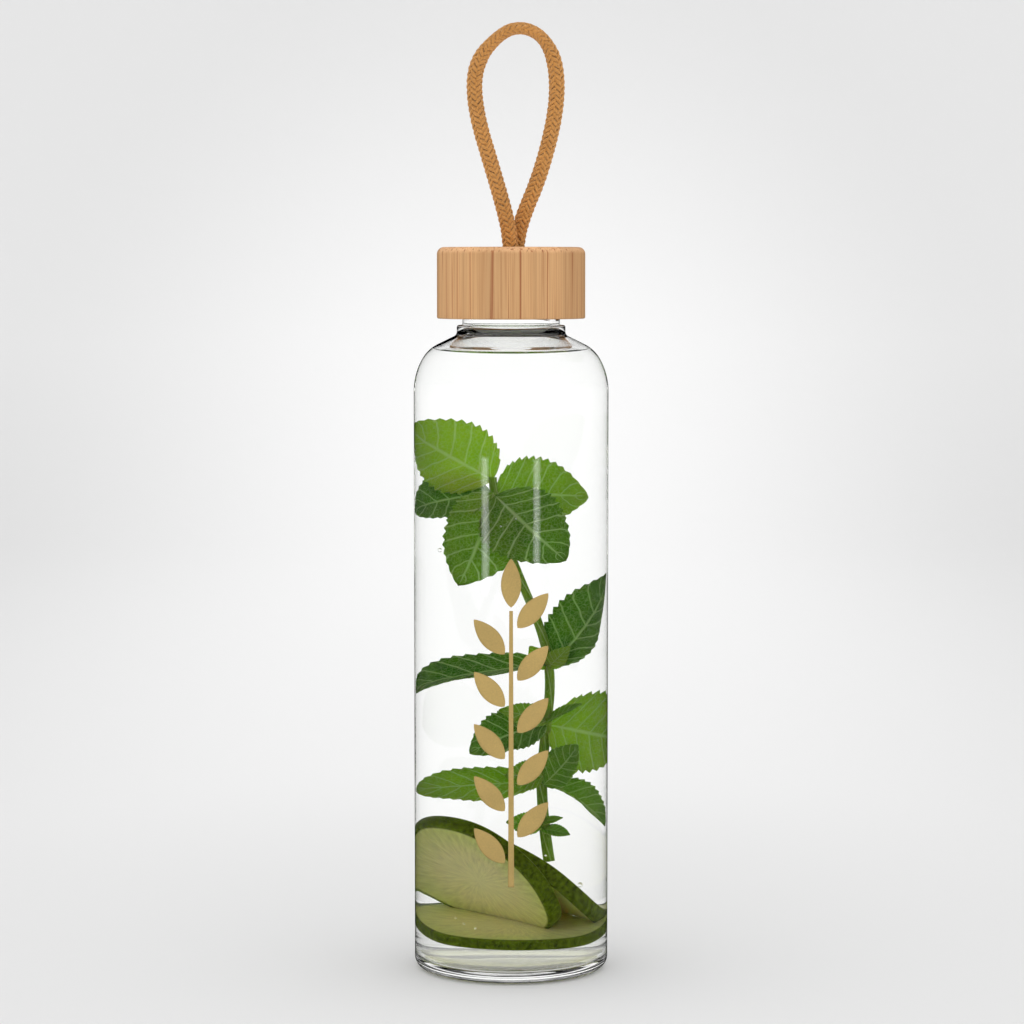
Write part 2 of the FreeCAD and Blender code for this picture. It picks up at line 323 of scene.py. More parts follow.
class Finish:
    """A node material under construction. Inputs are given by name, as values or as sockets to link."""

    def __init__(self, name):
        self.material = bpy.data.materials.new(name)
        self.material.use_nodes = True
        self.tree = self.material.node_tree
        self.tree.nodes.clear()

    def add(self, kind, inputs=(), **settings):
        """A shader node with these inputs and settings."""
        node = self.tree.nodes.new("ShaderNode" + kind)
        for key, value in settings.items():
            setattr(node, key, value)
        for key, value in dict(inputs).items():
            if isinstance(value, bpy.types.NodeSocket):
                self.tree.links.new(value, node.inputs[key])
            else:
                node.inputs[key].default_value = value
        return node

    def place(self, scale=(1, 1, 1), turn=(0, 0, 0), shift=(0, 0, 0)):
        """Object coordinates, scaled, turned and shifted."""
        source = self.add("TexCoord").outputs["Object"]
        inputs = {"Vector": source, "Scale": scale, "Rotation": turn, "Location": shift}
        return self.add("Mapping", inputs).outputs["Vector"]

    def noise(self, vector, scale, detail=3.0, rough=0.5):
        inputs = {"Vector": vector, "Scale": scale, "Detail": detail, "Roughness": rough}
        return self.add("TexNoise", inputs).outputs["Fac"]

    def ramp(self, value, stops):
        """A colour ramp from (place, colour) stops."""
        node = self.add("ValToRGB", {"Fac": value})
        elements = node.color_ramp.elements
        while len(elements) < len(stops):
            elements.new(0.5)
        for element, (place, tone) in zip(elements, stops):
            element.position = place
            element.color = (*tone, 1)
        return node.outputs["Color"]

    def spread(self, value, first=0.0, last=1.0, low=0.0, high=1.0):
        """The value, with its range from first to last brought to low to high."""
        inputs = {"Value": value, "From Min": first, "From Max": last, "To Min": low, "To Max": high}
        return self.add("MapRange", inputs).outputs["Result"]

    def mix(self, share, first, second, blend="MIX"):
        """Two colours mixed. The node's colour sockets have the numbers 6 and 7, and 2 for the result."""
        node = self.add("Mix", {"Factor": share}, data_type="RGBA", blend_type=blend)
        for socket, value in ((node.inputs[6], first), (node.inputs[7], second)):
            if isinstance(value, bpy.types.NodeSocket):
                self.tree.links.new(value, socket)
            else:
                socket.default_value = (*value, 1)
        return node.outputs[2]

    def maths(self, operation, first, second=0.0):
        node = self.add("Math", {0: first, 1: second}, operation=operation)
        return node.outputs["Value"]

    def bump(self, height, distance, strength=1.0):
        inputs = {"Height": height, "Distance": distance, "Strength": strength}
        return self.add("Bump", inputs).outputs["Normal"]

    def surface(self, **inputs):
        """Ends the material with a Principled surface. An underscore stands for a space in a name."""
        given = {key.replace("_", " "): value for key, value in inputs.items()}
        shader = self.add("BsdfPrincipled", given)
        self.add("OutputMaterial", {"Surface": shader.outputs["BSDF"]})
        return self.material


def clear_glass(name, settings, tint, gleam=1.0):
    """Clear glass, with a painted dark reflection along its silhouette edge on. gleam is the share left of
    its mirror shine, which water takes away.
    """
    m = Finish(name)
    facing = m.add("LayerWeight", {"Blend": 0.5}).outputs["Facing"]
    # Painted reflection: the tint turns dark olive edge on, standing in for dark surroundings seen in the
    # glass's rim.
    tone = m.ramp(facing, [(0.0, tint), (0.80, tint), (0.97, settings.painted_edge_reflection)])
    waves = m.noise(m.place((60, 60, 14)), 1.0, 1.0)
    return m.surface(
        Base_Color=tone,
        Roughness=0.0,
        IOR=1.47,
        Transmission_Weight=1.0,
        Specular_Tint=(gleam, gleam, gleam, 1),
        Normal=m.bump(waves, 0.00012),
    )


def bamboo(settings):
    """Laminated bamboo with its fibres upright, so its side is streaked and its top is dotted. Its upward
    faces are lightened by a painted light from above.
    """
    m = Finish("bamboo")
    hair = m.noise(m.place((3000, 3000, 22)), 1.0, 3.0, 0.6)
    streak = m.noise(m.place((1150, 1150, 9)), 1.0, 2.0, 0.5)
    broad = m.noise(m.place((120, 90, 4)), 1.0, 2.0)
    tone = m.ramp(broad, [(0.3, toned(settings.light, 0.88)), (0.7, toned(settings.light, 1.1))])
    tone = m.mix(m.ramp(hair, [(0.30, (0.55, 0.55, 0.55)), (0.56, (0, 0, 0))]), tone, settings.dark)
    line = m.ramp(streak, [(0.60, (0, 0, 0)), (0.65, (1, 1, 1))])
    tone = m.mix(m.maths("MULTIPLY", line, 0.8), tone, settings.hairline)
    slat_place = m.place((150, 150, 0), (0, 0, 0.18), (0.31, 0.2, 0))
    slat_number = m.add("VectorMath", {0: slat_place}, operation="FLOOR").outputs[0]
    slats = m.add("TexWhiteNoise", {"Vector": slat_number}).outputs["Value"]
    slat = m.ramp(slats, [(0.0, (0.90, 0.87, 0.83)), (1.0, (1.08, 1.06, 1.04))])
    tone = m.mix(1.0, tone, slat, "MULTIPLY")
    pores = m.add("TexVoronoi", {"Vector": m.place((1000, 1000, 10)), "Scale": 1.0}).outputs["Distance"]
    pore = m.ramp(pores, [(0.12, (0.30, 0.17, 0.10)), (0.26, (1, 1, 1))])
    upwards = m.add("SeparateXYZ", {"Vector": m.add("NewGeometry").outputs["Normal"]}).outputs["Z"]
    tone = m.mix(m.spread(upwards, 0.1, 0.6, 0.12, 0.8), tone, pore, "MULTIPLY")
    # Painted light: faces that look up are lighter and cooler, as if lit from above.
    painted_top_light = m.mix(0.8, tone, (1.45, 1.50, 1.75), "MULTIPLY")
    tone = m.mix(m.spread(upwards, 0.05, 0.7), tone, painted_top_light)
    rough = m.spread(hair, low=0.40, high=0.60)
    return m.surface(
        Base_Color=tone,
        Roughness=rough,
        Specular_IOR_Level=0.4,
        Normal=m.bump(hair, 0.00010, 0.6),
    )


def braided_cotton(settings):
    """Yarn whose stripes follow each strand's own map, with painted shade where the strand dips under the
    others and on its underside.
    """
    m = Finish("braided_cotton")
    uv = m.add("UVMap", uv_map="strand").outputs["UV"]
    parts = m.add("SeparateXYZ", {"Vector": uv})
    along, across = parts.outputs["X"], parts.outputs["Y"]
    stretched = m.add("Mapping", {"Vector": uv, "Scale": (120.0, 3.2, 1.0)}).outputs["Vector"]
    fibre = m.noise(stretched, 2.4, 4.0, 0.65)
    slant = m.maths("ADD", m.maths("MULTIPLY", across, 44.0), m.maths("MULTIPLY", along, 420.0))
    yarn = m.spread(m.maths("SINE", slant), first=-1.0)
    # The rise attribute carries painted shade: the dark colour goes where a strand dips under the others, on
    # its underside and edges, and on the core.
    height = m.add("Attribute", attribute_name="rise").outputs["Fac"]
    tone = m.ramp(height, [(0.20, settings.dark), (0.80, settings.light)])
    mottled = m.ramp(fibre, [(0.28, (0.60, 0.52, 0.42)), (0.72, (1.22, 1.20, 1.16))])
    tone = m.mix(0.8, tone, mottled, "MULTIPLY")
    cloud = m.noise(m.place(), 130.0, 2.0)
    worn = m.ramp(cloud, [(0.3, (0.90, 0.88, 0.84)), (0.7, (1.05, 1.04, 1.02))])
    tone = m.mix(1.0, tone, worn, "MULTIPLY")
    relief = m.maths("ADD", m.maths("MULTIPLY", yarn, 0.6), fibre)
    return m.surface(
        Base_Color=tone,
        Roughness=0.85,
        Specular_IOR_Level=0.2,
        Sheen_Weight=0.45,
        Sheen_Roughness=0.5,
        Sheen_Tint=(1.0, 0.82, 0.55, 1.0),
        Normal=m.bump(relief, 0.00022, 1.0),
    )


def water():
    """Clear water, whose mirror shine is left to the glass round it."""
    m = Finish("water")
    return m.surface(
        Base_Color=(0.997, 1.0, 0.996, 1),
        Roughness=0.0,
        IOR=1.333,
        Transmission_Weight=1.0,
        Specular_Tint=(0.05, 0.05, 0.05, 1),
    )


def bubble():
    """A bubble, which bends light so strongly that it shows the dark rim that air has in water."""
    m = Finish("bubble")
    return m.surface(Base_Color=(1, 1, 1, 1), Roughness=0.0, IOR=1.9, Transmission_Weight=1.0)


# A mint leaf's teeth and veins down each side, and how far a vein leans towards the tip by the leaf's edge.
LEAF_TEETH = 13
LEAF_VEINS = 7.0
VEIN_LEAN = 1.5


def mint(settings):
    """Leaf green between pale veins, which branch from the midrib towards the teeth."""
    m = Finish("mint")
    uv = m.add("UVMap", uv_map="blade").outputs["UV"]
    parts = m.add("SeparateXYZ", {"Vector": uv})
    along, across = parts.outputs["X"], parts.outputs["Y"]
    side = m.maths("ABSOLUTE", m.maths("SUBTRACT", m.maths("MULTIPLY", across, 2.0), 1.0))
    leaning = m.maths("MULTIPLY", side, VEIN_LEAN)
    count = m.maths("SUBTRACT", m.maths("MULTIPLY", along, LEAF_VEINS), leaning)
    wobble = m.noise(m.add("Mapping", {"Vector": uv, "Scale": (9.0, 5.0, 1.0)}).outputs["Vector"], 1.0, 3.0)
    count = m.maths("ADD", count, m.maths("MULTIPLY", m.maths("SUBTRACT", wobble, 0.5), 0.35))
    branch = m.maths("PINGPONG", count, 0.5)
    branch = m.ramp(branch, [(0.02, (1, 1, 1)), (0.10, (0, 0, 0))])
    midrib = m.ramp(side, [(0.02, (1, 1, 1)), (0.07, (0, 0, 0))])
    netting = m.add("Mapping", {"Vector": uv, "Scale": (30.0, 22.0, 1.0)}).outputs["Vector"]
    cells = m.add("TexVoronoi", {"Vector": netting, "Scale": 1.0}, feature="DISTANCE_TO_EDGE")
    net = m.ramp(cells.outputs["Distance"], [(0.0, (0.55, 0.55, 0.55)), (0.10, (0, 0, 0))])
    veins = m.maths("MAXIMUM", m.maths("MAXIMUM", branch, midrib), net)
    tone = m.add("Attribute", attribute_name="tone").outputs["Fac"]
    blotch = m.maths("MULTIPLY", m.maths("SUBTRACT", m.noise(m.place(), 160.0, 3.0), 0.5), 0.5)
    leaf = m.ramp(m.maths("ADD", tone, blotch), [(0.0, settings.old), (1.0, settings.young)])
    return m.surface(
        Base_Color=m.mix(veins, leaf, m.mix(0.6, leaf, settings.vein)),
        Roughness=0.4,
        Specular_IOR_Level=0.06,
        Subsurface_Weight=0.9,
        Subsurface_Radius=(0.0008, 0.0012, 0.0004),
        Subsurface_Scale=1.0,
        Normal=m.bump(m.maths("SUBTRACT", 1.0, veins), 0.00018, 0.7),
    )


def cucumber(settings):
    """Dark, mottled rind round pale flesh, which rays out from its middle."""
    m = Finish("cucumber")
    uv = m.add("UVMap", uv_map="slice").outputs["UV"]
    reach = m.add("VectorMath", {0: uv}, operation="LENGTH").outputs["Value"]
    parts = m.add("SeparateXYZ", {"Vector": uv})
    angle = m.maths("ARCTAN2", parts.outputs["Y"], parts.outputs["X"])
    polar = m.add("CombineXYZ", {"X": m.maths("MULTIPLY", reach, 2.2), "Y": m.maths("MULTIPLY", angle, 5.0)})
    rays = m.noise(polar.outputs["Vector"], 2.4, 4.0, 0.6)
    rind, flesh = settings.rind, settings.flesh
    pale = tuple(0.5 + 0.5 * part for part in flesh)
    meat = m.ramp(rays, [(0.2, toned(flesh, 0.72)), (0.6, flesh), (0.9, pale)])
    heart = m.ramp(reach, [(0.0, (1.0, 1.0, 0.95)), (0.5, (0.98, 0.97, 0.86)), (0.9, (0.88, 0.97, 0.66))])
    meat = m.mix(1.0, meat, heart, "MULTIPLY")
    skin = m.noise(m.place(), 700.0, 5.0, 0.7)
    green = m.ramp(skin, [(0.35, toned(rind, 0.5)), (0.68, toned(rind, 1.9))])
    share = m.ramp(reach, [(0.935, (0, 0, 0)), (0.965, (1, 1, 1))])
    return m.surface(
        Base_Color=m.mix(share, meat, green),
        Roughness=0.35,
        Specular_IOR_Level=0.06,
        Subsurface_Weight=0.85,
        Subsurface_Radius=(0.005, 0.006, 0.003),
        Subsurface_Scale=1.0,
        Normal=m.bump(rays, 0.0002, 0.4),
    )


def gold_ink(settings):
    """Fired gold ink, a little cloudy and specked."""
    m = Finish("gold_ink")
    specks = m.noise(m.place(), 2600.0, 3.0, 0.7)
    cloud = m.noise(m.place(), 60.0, 2.0)
    tone = m.ramp(cloud, [(0.3, toned(settings.gold, 0.86)), (0.7, settings.gold)])
    tone = m.mix(0.25, tone, m.ramp(specks, [(0.35, (0.6, 0.6, 0.6)), (0.65, (1.25, 1.25, 1.2))]), "MULTIPLY")
    return m.surface(
        Base_Color=tone,
        Metallic=0.25,
        Roughness=0.48,
        Normal=m.bump(specks, 0.00002, 0.5),
    )


def moulded_plastic():
    """The liner's off-white plastic."""
    m = Finish("moulded_plastic")
    grain = m.noise(m.place(), 1800.0, 3.0)
    tone = m.ramp(grain, [(0.3, (0.74, 0.73, 0.69)), (0.7, (0.80, 0.79, 0.75))])
    return m.surface(
        Base_Color=tone,
        Roughness=0.38,
        Subsurface_Weight=0.25,
        Subsurface_Radius=(0.002, 0.002, 0.0015),
        Normal=m.bump(grain, 0.00002, 0.5),
    )


def silicone():
    """The seal's pale rubber."""
    m = Finish("silicone")
    dust = m.noise(m.place(), 900.0, 4.0)
    tone = m.ramp(dust, [(0.3, (0.78, 0.79, 0.78)), (0.7, (0.85, 0.86, 0.85))])
    return m.surface(
        Base_Color=tone,
        Roughness=0.55,
        Subsurface_Weight=0.3,
        Subsurface_Radius=(0.002, 0.002, 0.002),
        Normal=m.bump(dust, 0.00002, 0.6),
    )


def backdrop(studio):
    """Matt studio sheet with a soft glow painted behind the bottle, a faint painted shade under it, and
    painted shade that keeps the floor darker than the wall.
    """
    m = Finish("backdrop")

    def pool(centre, reach, edge, middle):
        """A round pool of tone, eased from its edge to its middle."""
        scale = tuple(1 / part for part in reach)
        shift = tuple(-place / part for place, part in zip(centre, reach))
        where = m.place(scale, shift=shift)
        fall = m.add("TexGradient", {"Vector": where}, gradient_type="SPHERICAL").outputs["Fac"]
        tone = m.ramp(fall, [(0.0, (edge,) * 3), (1.0, (middle,) * 3)])
        tone.node.color_ramp.interpolation = "EASE"
        return tone

    shade = pool(studio.shade_centre, studio.shade_reach, 1.0, studio.shade_depth)
    glow = pool(studio.glow_centre, studio.glow_reach, 0.0, 1.0)
    # Painted shade: the floor is darker than the wall, easing up to the wall's share within the first height
    # of the cove.
    height = m.add("SeparateXYZ", {"Vector": m.place()}).outputs["Z"]
    share = m.spread(height, 0.0, studio.painted_shade_rise, studio.floor_painted_shade, studio.wall_painted_shade)
    level = m.add("CombineColor", {0: share, 1: share, 2: share}).outputs[0]
    seen = m.add("LightPath").outputs["Is Camera Ray"]
    return m.surface(
        Base_Color=m.mix(1.0, m.mix(1.0, shade, studio.grey, "MULTIPLY"), level, "MULTIPLY"),
        Roughness=1.0,
        Specular_IOR_Level=0.0,
        Emission_Color=m.mix(seen, (studio.fill,) * 3, glow),
        Emission_Strength=studio.glow,
    )


# ---------------------------------------------------------------- glass


# Degrees from outwards where the shoulder's two arcs end, and the radii of the small curves.
SHOULDER_TURNS = (30.0, 64.0)
ROOT_FILLET = 1.6 * MM
MOUTH_FILLET = 5.0 * MM
BEAD_EDGE = 0.7 * MM
NECK_FILLET = 0.6 * MM
RIM_EDGE = 0.8 * MM


def shoulder_centres(glass):
    """Centres of the shoulder's two arcs, which share a tangent."""
    low = (glass.body_radius - glass.shoulder_low, glass.shoulder)
    turn, reach = math.radians(SHOULDER_TURNS[0]), glass.shoulder_low - glass.shoulder_high
    return low, (low[0] + reach * math.cos(turn), low[1] + reach * math.sin(turn))


def cone_height(glass, radius, inset):
    """Height at that radius of the cone between shoulder and neck, inset from the outside."""
    centre, turn = shoulder_centres(glass)[1], math.radians(SHOULDER_TURNS[1])
    reach = glass.shoulder_high - inset
    return centre[1] + reach * math.sin(turn) + (centre[0] + reach * math.cos(turn) - radius) / math.tan(turn)


def outer_outline(glass):
    """The outside of the glass, from the middle of its underside up to the rim."""
    low, high = shoulder_centres(glass)
    first, last = SHOULDER_TURNS
    dome = [n / 10 for n in range(10)]
    points = [(glass.foot_ring * s, glass.foot_rise * (1 - s**4)) for s in dome]
    points.append((glass.foot_ring, 0.0))
    heel = arc((glass.body_radius - glass.heel, glass.heel), glass.heel, -90, 0, 10)
    points += heel
    points += run(heel[-1], (glass.body_radius, glass.shoulder), 24)[:-1]
    points += arc(low, glass.shoulder_low, 0, first, 12)
    points += arc(high, glass.shoulder_high, first, last, 12)[1:]
    rise = ROOT_FILLET * math.tan(math.radians(last / 2))
    root = (glass.bead + ROOT_FILLET, cone_height(glass, glass.bead, 0) + rise)
    points += arc(root, ROOT_FILLET, 180 + last, 180, 8)
    points += arc((glass.bead - BEAD_EDGE, glass.bead_top - BEAD_EDGE), BEAD_EDGE, 0, 90, 5)
    fillet = arc((glass.neck + NECK_FILLET, glass.bead_top + NECK_FILLET), NECK_FILLET, 270, 180, 4)
    points += fillet
    points += run(fillet[-1], (glass.neck, glass.rim_height - RIM_EDGE), 36)[:-1]
    points += arc((glass.neck - RIM_EDGE, glass.rim_height - RIM_EDGE), RIM_EDGE, 0, 90, 6)
    return points


def inner_outline(glass):
    """The inside of the glass, from the rim down to the middle of its floor."""
    low, high = shoulder_centres(glass)
    first, last = SHOULDER_TURNS
    inner = glass.body_radius - glass.wall
    points = arc((glass.mouth + RIM_EDGE, glass.rim_height - RIM_EDGE), RIM_EDGE, 90, 180, 6)
    rise = MOUTH_FILLET * math.tan(math.radians(last / 2))
    corner = (glass.mouth + MOUTH_FILLET, cone_height(glass, glass.mouth, glass.wall) + rise)
    points += arc(corner, MOUTH_FILLET, 180, 180 + last, 10)
    points += arc(high, glass.shoulder_high - glass.wall, last, first, 12)
    points += arc(low, glass.shoulder_low - glass.wall, first, 0, 12)[1:]
    points += run(points[-1], (inner, glass.floor + glass.inner_heel), 24)[:-1]
    points += arc((inner - glass.inner_heel, glass.floor + glass.inner_heel), glass.inner_heel, 0, -90, 10)
    points += run(points[-1], (0.0, glass.floor), 8)
    return points


def thread_stand(glass, angle, height):
    """How far the screw ridge stands out of the neck at that angle and height.

    root and crest are half the ridge's width at its foot and top, and fade is the turn that its end takes.
    """
    root, crest, fade = 1.15 * MM, 0.5 * MM, 0.09
    stand = 0.0
    for lap in range(math.ceil(glass.thread_turns)):
        turn = angle / math.tau + lap
        if turn > glass.thread_turns:
            continue
        off = abs(height - glass.thread_start - glass.pitch * turn)
        end = min(1.0, turn / fade, (glass.thread_turns - turn) / fade)
        stand = max(stand, glass.thread_height * eased((root - off) / (root - crest)) * end)
    return stand


def threaded(bm, glass):
    """Raises the screw ridge out of the straight neck."""
    for vert in bm.verts:
        radius = math.hypot(vert.co.x, vert.co.y)
        if vert.co.z > glass.bead_top and abs(radius - glass.neck) < 0.01 * MM:
            angle = math.atan2(vert.co.y, vert.co.x) % math.tau
            scale = 1 + thread_stand(glass, angle, vert.co.z) / radius
            vert.co.x *= scale
            vert.co.y *= scale


def wetting(face, glass, level):
    """Which glass a face is made of: 0 dry, 1 wetted by the water, 2 the floor under it."""
    x, y, z = face.center
    radius, near = math.hypot(x, y), 0.1 * MM
    outside = radius > glass.body_radius - glass.wall / 2 or face.normal.dot((x, y, 0)) > radius / 2
    if outside or not glass.floor - near < z < level:
        return 0
    return 2 if z < glass.floor + near and radius < glass.foot_ring else 1


class BOTTLE_OT_glass(bpy.types.Operator):
    """Blows the glass vessel with its moulded thread"""

    bl_idname = "bottle.glass"
    bl_label = "Glass bottle"

    def execute(self, context):
        glass = context.scene.bottle_glass
        bm = spun(outer_outline(glass) + inner_outline(glass), glass.segments)
        threaded(bm, glass)
        piece = finished("bottle_glass", bm, clear_glass("clear_glass", glass, glass.tint))
        # The floor glass takes the painted reflection of the cucumber slices as its tint.
        for name, tint in (("wetted_glass", glass.tint), ("floor_glass", glass.painted_fruit_reflection)):
            piece.data.materials.append(clear_glass(name, glass, tint, gleam=0.03))
        drink = context.scene.bottle_drink
        if drink.filled:
            for face in piece.data.polygons:
                face.material_index = wetting(face, glass, drink.level)
        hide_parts("glass_bottle")
        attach(piece, "bottle")
        return {"FINISHED"}


# ---------------------------------------------------------------- print


def on_glass(x, z, radius):
    """The point of the front wall at that side distance and height."""
    return Vector((x, -math.sqrt(radius * radius - x * x), z))


def ink_leaf(bm, twig, long, turn, foot, radius):
    """A leaf of ink laid on the wall: its foot at foot, leaning by turn."""
    lean = Matrix.Rotation(-turn, 2)

    def place(s, t):
        width = twig.leaf_half * leaf_width(s, 0.9, 0.8)
        x, z = lean @ Vector((width * (2 * t - 1), long * s))
        return on_glass(foot[0] + x, foot[1] + z, radius)

    laid_grid(bm, rows=24, columns=8, place=place)


class BOTTLE_OT_print(bpy.types.Operator):
    """Prints the gold twig on the front of the glass"""

    bl_idname = "bottle.print"
    bl_label = "Gold twig"

    def execute(self, context):
        twig, clearance = context.scene.bottle_print, 0.01 * MM
        radius = context.scene.bottle_glass.body_radius + clearance
        bm = bmesh.new()
        rise = twig.stem_top - twig.stem_low

        def stem(s, t):
            width = twig.stem_width * (1 - twig.stem_taper * s)
            return on_glass(width * (t - 0.5), twig.stem_low + rise * s, radius)

        laid_grid(bm, rows=60, columns=4, place=stem)
        for n in range(twig.leaf_count):
            side = 1 if n % 2 else -1
            out = side * (twig.stem_width / 2 + twig.leaf_gap)
            up = twig.stem_low + twig.leaf_first + n * twig.leaf_step
            ink_leaf(bm, twig, twig.leaf_length, side * twig.leaf_tilt, (out, up), radius)
        ink_leaf(bm, twig, twig.tip_length, 0.0, (0.0, twig.stem_top + twig.leaf_gap), radius)
        bmesh.ops.remove_doubles(bm, verts=bm.verts, dist=MERGE)
        bmesh.ops.recalc_face_normals(bm, faces=bm.faces)
        outward = sum(f.normal.xy.dot(f.calc_center_median().xy) for f in bm.faces)
        if outward < 0:
            bmesh.ops.reverse_faces(bm, faces=bm.faces)
        bmesh.ops.solidify(bm, geom=bm.faces[:], thickness=-twig.thickness)
        bmesh.ops.recalc_face_normals(bm, faces=bm.faces)
        piece = finished("print_twig", bm, gold_ink(twig))
        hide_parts("gold_print")
        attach(piece, "bottle")
        return {"FINISHED"}


# ---------------------------------------------------------------- cap


def cap_outline(cap):
    """Half-section of the bamboo shell, from the rope hole over the top and back up inside."""
    radius, top, low = CAP[1].x, CAP[1].z, CAP[0].z
    lip, chamfer = 0.6 * MM, 0.3 * MM
    outer = arc((cap.rope_hole + lip, top - lip), lip, 180, 90, 5)
    outer += run(outer[-1], (radius - cap.edge, top), 8)[:-1]
    outer += arc((radius - cap.edge, top - cap.edge), cap.edge, 90, 0, 10)
    outer += run(outer[-1], (radius, low + cap.low_edge), 12)[:-1]
    outer += arc((radius - cap.low_edge, low + cap.low_edge), cap.low_edge, 0, -90, 5)
    inner = [(cap.recess + chamfer, low), (cap.recess, low + chamfer), (cap.recess, LINER[1].z)]
    inner += [(cap.chamber, LINER[1].z), (cap.chamber, cap.chamber_top)]
    inner += [(cap.rope_hole + lip, cap.chamber_top), (cap.rope_hole, cap.chamber_top + lip)]
    return outer + inner


class BOTTLE_OT_cap(bpy.types.Operator):
    """Turns the bamboo cap, and finishes its liner and seal"""

    bl_idname = "bottle.cap"
    bl_label = "Bamboo cap"

    def execute(self, context):
        cap = context.scene.bottle_cap
        bm = spun(cap_outline(cap), context.scene.bottle_glass.segments)
        piece = finished("cap_shell", bm, bamboo(cap))
        piece.data.set_sharp_from_angle(angle=math.radians(40))
        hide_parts("bamboo_cap")
        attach(piece, "cap")
        for node, material in (("thread_liner", moulded_plastic()), ("seal_ring", silicone())):
            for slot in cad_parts[node].material_slots:
                slot.material = material
        return {"FINISHED"}


# ---------------------------------------------------------------- rope


def route_line(points):
    """Closely spaced points of the smooth line that the route's points steer."""
    curve = bpy.data.curves.new("route", "CURVE")
    curve.dimensions = "3D"
    curve.resolution_u = 40
    spline = curve.splines.new("NURBS")
    spline.points.add(len(points) - 1)
    for point, place in zip(spline.points, points):
        point.co = (*place, 1)
    spline.order_u = 3
    spline.use_endpoint_u = True
    holder = bpy.data.objects.new("route", curve)
    mesh = bpy.data.meshes.new_from_object(holder)
    line = [v.co.copy() for v in mesh.vertices]
    bpy.data.objects.remove(holder)
    bpy.data.curves.remove(curve)
    bpy.data.meshes.remove(mesh)
    return line


class Track:
    """A line that can be asked for its point and its frame at a distance along it."""

    def __init__(self, line):
        self.line = line
        self.marks = [0.0]
        for a, b in zip(line, line[1:]):
            self.marks.append(self.marks[-1] + (b - a).length)
        self.length = self.marks[-1]

    def at(self, distance):
        """(point, tangent, sideways, in the loop's plane) at that distance."""
        distance = min(max(distance, 0.0), self.length)
        low, high = 0, len(self.marks) - 1
        while high - low > 1:
            mid = (low + high) // 2
            low, high = (mid, high) if self.marks[mid] <= distance else (low, mid)
        a, b = self.line[low], self.line[high]
        share = (distance - self.marks[low]) / max(self.marks[high] - self.marks[low], 1e-12)
        before, after = self.line[max(low - 1, 0)], self.line[min(high + 1, len(self.line) - 1)]
        tangent = ((b - before).normalized() * (1 - share) + (after - a).normalized() * share).normalized()
        side = Vector((0, 1, 0))
        side = (side - tangent * side.dot(tangent)).normalized()
        return a.lerp(b, share), tangent, side, tangent.cross(side)


def flatten(rope, height, top):
    """Share of the rope's thickness left at that height: it flattens where the loop turns over.

    That begins and ends at two depths under the loop's top.
    """
    begins, ends = 12.0 * MM, 2.0 * MM
    return 1.0 - (1.0 - rope.flat) * eased((begins - (top - height)) / (begins - ends))


def section(rope, track, distance, top):
    """(point, tangent, the section's two half-axes for a radius of one) of the rope at that distance."""
    point, tangent, side, plane = track.at(distance)
    keep = flatten(rope, point.z, top)
    return point, tangent, plane * keep, side * (2 - keep) ** 0.5


def strand(bm, rope, track, index, direction, top, uv, rise):
    """One flat strand of the braid, two over and two under the strands that wind the other way."""
    thick, wide, weave = 0.92 * MM, 1.30 * MM, 0.27 * MM
    middle = rope.diameter / 2 - weave - thick / 2
    crossings = 2 * rope.pairs / rope.lay

    def stray(s):
        """How far the strand wanders round the rope at that share of its length, in radians."""
        slow = 0.045 * math.sin(29 * s + 2.1 * index)
        quick = 0.035 * math.sin(73 * s + 1.3 * index * direction)
        return slow + quick

    def wave(s):
        """1 where the strand passes over the others, and -1 where it passes under them."""
        count = 2 * index + direction * crossings * track.length * s - 0.5
        return math.cos(math.tau * count / 4) * direction

    def place(s, t):
        distance = track.length * s
        point, tangent, first, second = section(rope, track, distance, top)
        turn = math.tau * (direction * distance / rope.lay + index / rope.pairs) + stray(s)
        out = first * math.cos(turn) + second * math.sin(turn)
        around = (second * math.cos(turn) - first * math.sin(turn)) * direction
        ahead = (tangent + around * (math.tau * middle / rope.lay)).normalized()
        up = (out - ahead * out.dot(ahead)).normalized()
        across = ahead.cross(up)
        centre = point + out * (middle + weave * wave(s))
        angle = math.tau * t
        return centre + across * (wide / 2 * math.cos(angle)) + up * (thick / 2 * math.sin(angle))

    def height(s, t):
        """The yarn's height in the braid, which sets its painted shade: most along its back, least
        underneath, where it is darkest.
        """
        angle = math.tau * t
        return 0.5 + 0.28 * wave(s) + 0.34 * math.sin(angle) - 0.18 * abs(math.cos(angle))

    rows = int(track.length * crossings * 2)
    return laid_grid(bm, rows=rows, columns=8, place=place, uv=uv, values=[(rise, height)])


def core(bm, rope, track, top, uv, rise):
    """The rope's core, which fills the space inside the braid, coloured all in the painted shade between the
    strands.
    """
    sunk = 0.62 * MM
    radius = rope.diameter / 2 - sunk

    def place(s, t):
        point, _, first, second = section(rope, track, track.length * s, top)
        angle = math.tau * t
        return point + first * (radius * math.cos(angle)) + second * (radius * math.sin(angle))

    rows = int(track.length / MM)
    return laid_grid(bm, rows=rows, columns=12, place=place, uv=uv, values=[(rise, lambda s, t: 0.0)])


def braided(name, rope, line, material):
    """A braided rope along the line, and its length."""
    track = Track(line)
    top = max(p.z for p in line)
    bm = bmesh.new()
    uv = bm.loops.layers.uv.new("strand")
    rise = bm.verts.layers.float.new("rise")
    made = core(bm, rope, track, top, uv, rise)
    for index in range(rope.pairs):
        for direction in (1, -1):
            made += strand(bm, rope, track, index, direction, top, uv, rise)
    sealed(bm, made)
    return finished(name, bm, material), track.length


